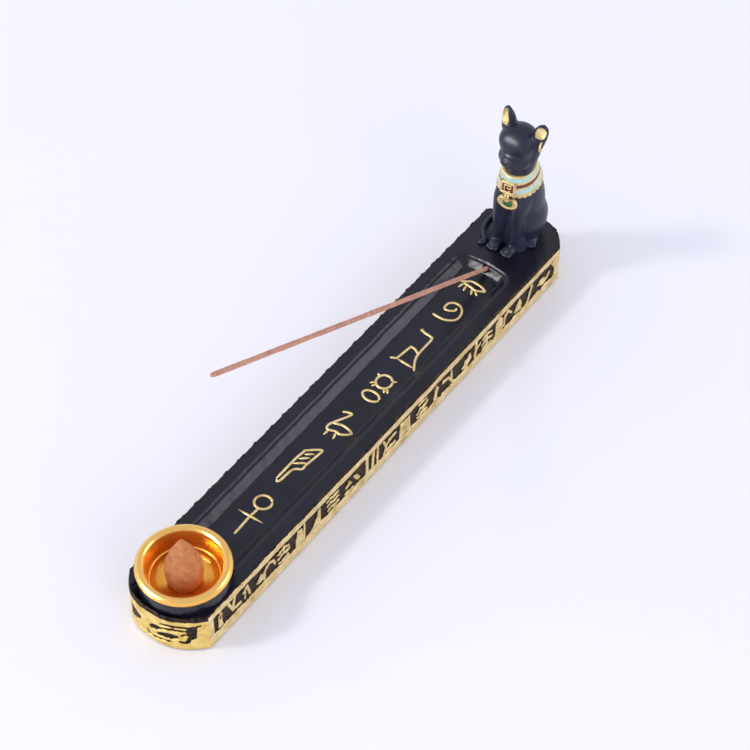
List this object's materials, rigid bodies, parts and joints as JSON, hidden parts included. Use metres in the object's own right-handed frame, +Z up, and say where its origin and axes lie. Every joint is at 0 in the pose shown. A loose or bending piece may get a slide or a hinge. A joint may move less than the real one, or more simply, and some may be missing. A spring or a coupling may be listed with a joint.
{
  "type": "incense burner",
  "caption": "Long tray incense burner with an ash trough, a lift-out metal cup for a cone, a slanted hole for a stick, gilded frieze sides and a seated cat figure.",
  "frame": {"origin": "centre of the felt base, on the surface that the tray stands on", "axes": "+Z up, Y along the tray with the cup at -Y and the cat at +Y facing -Y, X across the tray"},
  "size_m": [0.036, 0.24, 0.1085],
  "materials": {
    "black_resin": "satin cast resin, blue-black",
    "gold_paint": "metallic gold paint over cast resin",
    "felt": "pressed felt",
    "cup_metal": "satin, gold coloured",
    "cone_incense": "pressed incense powder",
    "stick_incense": "pressed incense powder",
    "turquoise_enamel": "gloss paint",
    "red_enamel": "gloss paint",
    "green_stone": "polished"
  },
  "bodies": {
    "tray": {"tray_body": "black_resin", "cat_figure": "black_resin", "base_felt": "felt", "collar_band_upper": "turquoise_enamel", "collar_band_lower": "turquoise_enamel", "collar_band_middle": "red_enamel", "pendant_stone": "green_stone", "frieze_frame_right": "gold_paint", "frieze_frame_left": "gold_paint", "end_frame_front": "gold_paint", "end_frame_back": "gold_paint", "ear_inlay_left": "gold_paint", "ear_inlay_right": "gold_paint", "earring_left": "gold_paint", "earring_right": "gold_paint", "broad_collar": "gold_paint", "collar_plaque": "gold_paint", "pendant": "gold_paint"},
    "cup": {"cone_cup": "cup_metal"},
    "cone": {"incense_cone": "cone_incense"},
    "stick": {"incense_stick": "stick_incense"}
  },
  "joints": [
    {"name": "cup_lift", "type": "slide", "parent": "tray", "child": "cup", "axis": [0, 0, 1], "range_m": [0, 0.012]},
    {"name": "cone_lift", "type": "slide", "parent": "cup", "child": "cone", "axis": [0, 0, 1], "range_m": [0, 0.014]},
    {"name": "stick_pull", "type": "slide", "parent": "tray", "child": "stick", "axis": [0, -0.8746, 0.4848], "range_m": [0, 0.018]}
  ]
}
